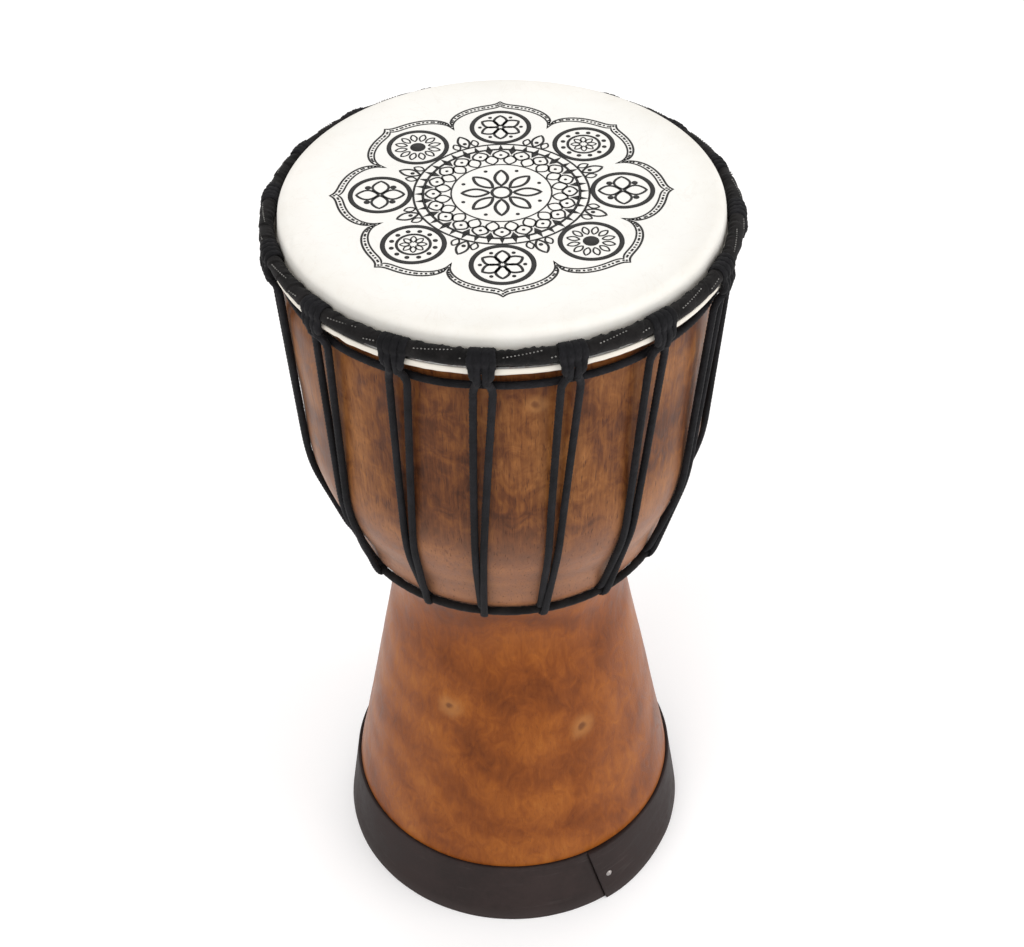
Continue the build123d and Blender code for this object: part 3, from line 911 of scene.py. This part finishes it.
def make_stitching():
    """Short rows of pale stitches along the upper front of the bound crown ring."""
    points, faces = [], []
    bead = np.array([(cos(u) * cos(v), sin(u) * cos(v), sin(v))
                     for v in np.linspace(-1.2, 1.2, BEAD_ROWS)
                     for u in around(BEAD_SIDES)]) * STITCH_HALF
    cells = grid_faces(BEAD_ROWS, BEAD_SIDES, False, True)[0].tolist()
    cells.append(range(BEAD_SIDES - 1, -1, -1))
    cells.append(range(len(bead) - BEAD_SIDES, len(bead)))
    sit = CROWN_CLOTH * 0.98
    for k, here in enumerate(HITCH_AT):
        stop = here + TAU / HITCHES
        stop += turned(HITCH_AT[(k + 1) % HITCHES], stop) - 9 * MM / CROWN_R
        for row, (past, count, degrees) in enumerate(STITCH_ROWS):
            start = here + (past + (k * 7) % 4) * MM / CROWN_R
            lift = radians(degrees + (k * 37) % 14)
            for m in range(count - (k * 5 + row * 3) % 3):
                a = start + m * STITCH_STEP / CROWN_R
                if a > stop:
                    break
                tilt = lift + m * radians(3.2)
                level = CROWN_Z - low_behind(a, CROWN_DROP) + sit * sin(tilt)
                centre = place(CROWN_R + sit * cos(tilt), a, level)
                along = place(1.0, a + pi / 2, 0.0)
                out = place(cos(tilt), a, sin(tilt))
                base = len(points)
                points += (centre + bead @ np.array([along, np.cross(out, along), out])).tolist()
                faces += [tuple(base + q for q in cell) for cell in cells]
    mesh = bpy.data.meshes.new("ring_stitching")
    mesh.from_pydata(points, [], faces)
    mesh.validate()
    thread = mottled_material("pale_thread", (0.17, 0.165, 0.155), 300.0, 0.6, 0.6, 0.85,
                              Specular_IOR_Level=0.3)[0]
    finish_piece("ring_stitching", mesh, thread)


# ---------------- rope
LIE = ROPE + 0.15 * MM           # a strand's centre stands this far off what it lies on
FLAT = 0.45 * ROPE               # half thickness where it is pulled flat over a ring
NECK_R, NECK_HALF, NECK_Z = CROWN_R + 3.1 * MM, 2.12 * MM, CROWN_Z - 12.8 * MM
WAIST_HALF, SPREAD_HALF = 1.0 * MM, 4.9 * MM     # half spacing of the strands low and high
LINK_HANG = (LINK_R + 2 * ROPE + 0.1 * MM, LINK_Z - 2.0 * MM)    # where a strand leaves the link
TURNS_AT = (1.8 * MM, 4.9 * MM)  # the four turns over the crown ring lie this far off centre


def taut_over(points):
    """The outer taut line over profile points (radius, height) given from low to high."""
    kept = []
    for p in points:
        while len(kept) > 1:
            (r0, z0), (r1, z1) = kept[-2], kept[-1]
            if (z1 - z0) * (p[0] - r0) < (p[1] - z0) * (r1 - r0):
                break
            kept.pop()
        kept.append(p)
    return np.array(kept)


def wood_line(angle, low, high):
    """Profile points one rope off the wood between two heights."""
    z = np.linspace(low, high, 90)
    r = wood_radius(angle, z)
    lean = np.gradient(r, z)
    off = LIE / np.hypot(1, lean)
    return list(zip(r + off, z - off * lean))


def waist_normal():
    """Outward normal of the bowl's flank behind the waist ring, in (radius, height)."""
    z = np.array([WAIST_Z - 4 * MM, WAIST_Z + 10 * MM])
    r = np.interp(z, HEIGHTS, OUTER)
    n = hypot(r[1] - r[0], z[1] - z[0])
    return (z[1] - z[0]) / n, -(r[1] - r[0]) / n


def round_waist_ring():
    """Profile points of a strand from behind the ring, under it and up in front."""
    nr, nz = waist_normal()
    reach = WAIST_CLOTH + FLAT
    turn = np.linspace(pi, TAU, 13)
    return [(WAIST_R + reach * (nr * cos(t) - nz * sin(t)),
             WAIST_Z + reach * (nz * cos(t) + nr * sin(t))) for t in turn]


def lace_line(k, chance):
    """One V of rope as points in space, from one strand's neck round to the other's."""
    top, low = HITCH_AT[k], LACE_AT[k]
    turn = round_waist_ring()
    near_waist = WAIST_HALF * (1 + chance.uniform(-0.15, 0.25))
    growth = (SPREAD_HALF - near_waist) * (1 + chance.uniform(-0.06, 0.06))
    bow = chance.uniform(0.75, 1.15)
    drift = chance.uniform(-0.5, 0.5) * MM
    strands, tops = [], []
    for side, foot in ((-1, turn[0]), (1, turn[-1])):
        on_wood = wood_line(top, WAIST_Z + 6 * MM, LINK_Z - 20 * MM)
        r, z = taut_over([foot] + on_wood + [LINK_HANG]).T
        fine = np.linspace(z[0], z[-1], 60)
        r = np.interp(fine, z, r)
        rise = (fine - z[0]) / (z[-1] - z[0])
        aside = side * (near_waist + growth * rise ** bow) + drift * np.sin(pi * rise)
        strands.append(place(r, low + (top - low) * rise + aside / r, fine))
        aside = side * np.array([3.6 * MM, NECK_HALF, NECK_HALF])
        tops.append(place([LINK_HANG[0] + 1.4 * MM, NECK_R - 0.4 * MM, NECK_R],
                          top + aside / NECK_R,
                          [LINK_Z + 3.4 * MM, NECK_Z - 1.2 * MM, NECK_Z + 1.2 * MM]))
    r, z = np.array(turn).T
    middle = place(r, low + np.linspace(-1, 1, len(turn)) * near_waist / r, z)
    return np.concatenate([tops[0][::-1], strands[0][::-1], middle[1:-1], strands[1], tops[1]])


def across_at(line):
    """The level direction round the drum at each point of a line."""
    angle = np.arctan2(line[:, 0], -line[:, 1])
    return place(1.0, angle + pi / 2, 0.0)


def make_laces():
    chance = np.random.default_rng(11)
    for k, number in enumerate(NUMBERS):
        line = eased_line(lace_line(k, chance), ROPE_STEP, 1.3 * MM)
        lowest = int(np.argmin(line[:, 2]))
        flat = hump((np.arange(len(line)) - lowest) * ROPE_STEP, 6.5 * MM)
        mesh = braided_rope("lace_" + number, line, across_at(line), ROPE * (1 + 0.12 * flat),
                            ROPE - (ROPE - FLAT) * flat)
        finish_piece("lace_rope_" + number, mesh, ROPE_BLACK, ["lace_" + number])


def hitch_turn(k, side, outer, chance):
    """One turn of rope from inside the crown ring, over it and down to the neck."""
    at = HITCH_AT[k]
    half = TURNS_AT[outer] + chance.uniform(-0.3, 0.3) * MM
    skew = chance.uniform(-0.5, 0.5) * MM * outer
    behind = float(low_behind(at, 1.0))
    over = CROWN_CLOTH + FLAT - (0.9 + 0.5 * behind) * MM
    level = CROWN_Z - CROWN_DROP * behind
    route = []
    for degrees in range(205, -50, -15):
        t = radians(degrees)
        out = half + 0.6 * MM * outer * hump(degrees, 50) + skew * hump(degrees - 90, 60)
        reach = over + 0.5 * MM * (1 - outer) * hump(degrees - 20, 60)
        route.append((CROWN_R + reach * cos(t), out, level + reach * sin(t)))
    # the way into the neck: off its radius, out from the hitch's middle, off its height
    neck = (((1.6, NECK_HALF + 0.1 * MM, 6.5), (0.6, NECK_HALF, 2.4), (-0.2, NECK_HALF, -1.5)),
            ((1.3, half - 0.3 * MM, 7.0), (0.8, NECK_HALF + 2.3 * MM, 3.8),
             (-0.8, NECK_HALF + 0.7 * MM, 1.0)))[outer]
    route += [(NECK_R + off * MM, out, NECK_Z + up * MM) for off, out, up in neck]
    radius, out, height = np.array(route).T
    return place(radius, at + side * out / radius, height)


def joined(name, meshes):
    """One mesh out of several, with their lay coordinates kept."""
    work = bmesh.new()
    for mesh in meshes:
        work.from_mesh(mesh)
        bpy.data.meshes.remove(mesh)
    made = bpy.data.meshes.new(name)
    work.to_mesh(made)
    work.free()
    return made


def make_hitches():
    chance = np.random.default_rng(23)
    for k, number in enumerate(NUMBERS):
        turns = []
        for side, outer in ((-1, 0), (-1, 1), (1, 0), (1, 1)):
            line = eased_line(hitch_turn(k, side, outer, chance), ROPE_STEP, 0.9 * MM)
            round_again = step_between(np.linspace(0, 1, len(line)), 0.45, 0.85)
            wide = ROPE * (1.10 - 0.10 * round_again)
            deep = FLAT + (ROPE - FLAT) * round_again
            turns.append(braided_rope("turn", line, across_at(line), wide, deep))
        name = "crown_hitch_" + number
        finish_piece("hitch_rope_" + number, joined(name, turns), ROPE_BLACK, [name])


def make_link_rope():
    """The rope that links the hitches, level round the drum and drawn in a little at each."""
    count = int(TAU * LINK_R / ROPE_STEP)
    angle = around(count)
    sag = rough(place(0.1, angle, 0.3), 45.0, 9)
    near = sum(hump(turned(angle, a) * LINK_R, 7 * MM) for a in HITCH_AT)
    line = place(LINK_R + 0.1 * MM, angle, LINK_Z - 1.2 * MM + 0.5 * MM * (sag + near))
    side = place(0.0, angle, np.ones(count))
    mesh = braided_rope("link_rope", line, side, closed=True)
    finish_piece("linking_rope", mesh, ROPE_BLACK, ["link_rope"])


# ---------------- foot
BAND = 2.0 * MM
BAND_EDGE = 0.7 * MM             # how far its edges are rounded
LAP_FROM, LAP_TO = radians(29), radians(60)
LAP_RISE = 1.8 * MM
LAP_SLANT = radians(5.5)    # the free end of the strip is cut askew
SCUFF = (0.075, 0.062, 0.060, 1)
RUST = (0.16, 0.07, 0.035, 1)


def band_rubber():
    material, n, shader, at, dusty = mottled_material(
        "band_rubber", (0.028, 0.0195, 0.0185), 34.0, 0.22, 0.48, 0.68, Specular_IOR_Level=0.09)
    scuffs = n.spread(n.grain(at, (30, 30, 260), 4.0, 0.6), 0.56, 0.74)
    low = n.spread(n.split(at)[2], 0.012, 0.001)
    worn = n.times(n.sum("MAXIMUM", scuffs, low), 0.22)
    n.wire(shader["Base Color"], n.mix(worn, dusty["Color"], SCUFF))
    raise_bumps(n, shader, n.noise(at, 900.0, 4.0, 0.65), 0.18, 0.25 * MM)
    return material


def make_foot_band():
    """The rubber strip round the foot, its free end lapped over the other and tacked."""
    angle = np.linspace(LAP_FROM, LAP_FROM + TAU, 520)[:, None]
    slope = (np.interp(0.044, HEIGHTS, OUTER) - OUTER[0]) / 0.044
    lap = LAP_RISE * (1 - step_between(angle, LAP_FROM, LAP_TO))
    turn = np.linspace(0, pi / 2, 5)
    wall = np.linspace(BAND_EDGE, BAND_TOP - BAND_EDGE, 12)[1:-1]
    out = np.concatenate([BAND - BAND_EDGE * (1 - np.sin(turn)), np.full(len(wall), BAND),
                          BAND - BAND_EDGE * (1 - np.cos(turn))])
    height = np.concatenate([BAND_EDGE * (1 - np.cos(turn)), wall,
                             BAND_TOP - BAND_EDGE * (1 - np.sin(turn))])
    uneven = rough(place(0.112, angle, 0.0), 30.0, 12) * 0.35 * MM
    face = FOOT_R - BAND + slope * height
    radius = face + out + lap
    radius = radius + 0.12 * MM * rough(place(radius, angle, height), 60.0, 13)
    level = height + uneven * (height / BAND_TOP) ** 4
    radius = np.concatenate([radius, face[-1] + 0 * angle, face[0] + 0 * angle], 1)
    level = np.concatenate([level, level[:, -1:], 0 * angle], 1)
    bias = LAP_SLANT * (0.5 - level / BAND_TOP)
    mesh = grid_mesh("foot_band", place(radius, angle + bias, np.maximum(level, 0)),
                     around=True, caps=True)
    finish_piece("rubber_foot_band", mesh, band_rubber(), ["foot_band"])


def worn_steel(name, colour, rust):
    material, n, shader, at, tint = mottled_material(name, colour, 240.0, 0.2, 0.28, 0.52,
                                                     Metallic=1.0)
    spots = n.times(n.spread(n.noise(at, 420.0, 4.0, 0.65), 0.50, 0.66), rust)
    n.wire(shader["Base Color"], n.mix(spots, tint["Color"], RUST))
    raise_bumps(n, shader, tint["Mask"], 0.3, 0.1 * MM)
    return material


def dress_steel():
    """The nail and the hidden steel keep their frame shapes and take a worn finish."""
    bar = worn_steel("plain_bar", (0.42, 0.41, 0.40), 0.5)
    nail = worn_steel("tack_steel", (0.36, 0.34, 0.33), 0.35)
    for node, finish in (("crown_ring", bar), ("waist_ring", bar), ("flesh_hoop", bar),
                         ("foot_band_nail", nail)):
        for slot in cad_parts[node].material_slots:
            slot.material = finish


# ---------------- studio
CAMERA_AT = (0.0027, -0.7925, 1.033)
LOOK_DOWN = 42.8
ROLL = 1.1
LENS = 63.28
LAMPS = (("key", (-0.9, -1.3, 1.9), 1.6, 17.0), ("fill", (1.6, -0.7, 0.7), 1.6, 15.0),
         ("back", (0.2, 1.6, 1.7), 1.8, 9.0))            # place, size, watts
LIT = Vector((0, 0, 0.28))                               # what the lamps are turned to
SKY = (1.0, 0.995, 0.99, 1)
SKY_STRENGTH = 0.78


def make_floor():
    bpy.ops.mesh.primitive_plane_add(size=12, location=(0, 0, 0))
    floor = bpy.context.active_object
    floor.name = "studio_floor"
    floor.data.materials.append(mottled_material(
        "studio_paper", (0.965, 0.955, 0.955), 3.0, 0.004, 0.85, 0.9, Specular_IOR_Level=0.05,
        Emission_Color=(1.0, 0.995, 0.995, 1), Emission_Strength=0.10)[0])


def put_in_scene(name, data):
    holder = bpy.data.objects.new(name, data)
    bpy.context.scene.collection.objects.link(holder)
    return holder


def make_studio():
    scene = bpy.context.scene
    make_floor()
    scene.world = bpy.data.worlds.new("studio")
    scene.world.use_nodes = True
    sky = scene.world.node_tree.nodes["Background"].inputs
    sky["Color"].default_value = SKY
    sky["Strength"].default_value = SKY_STRENGTH
    for label, at, size, power in LAMPS:
        lamp = bpy.data.lights.new(label, "AREA")
        lamp.energy = power
        lamp.size = size
        holder = put_in_scene(label, lamp)
        holder.location = at
        holder.rotation_euler = (LIT - Vector(at)).to_track_quat("-Z", "Y").to_euler()

    camera = bpy.data.cameras.new("camera")
    camera.sensor_width = 36
    camera.lens = LENS
    tilt = Matrix.Rotation(radians(90 - LOOK_DOWN), 4, "X")
    roll = Matrix.Rotation(radians(-ROLL), 4, "Z")
    scene.camera = put_in_scene("camera", camera)
    scene.camera.matrix_world = Matrix.Translation(CAMERA_AT) @ tilt @ roll
    scene.view_settings.view_transform = "Standard"


# ---------------- the drum
make_studio()
make_shell()
make_drumhead()
make_rosette()
make_ring_cloths()
make_stitching()
make_laces()
make_hitches()
make_link_rope()
make_foot_band()
dress_steel()
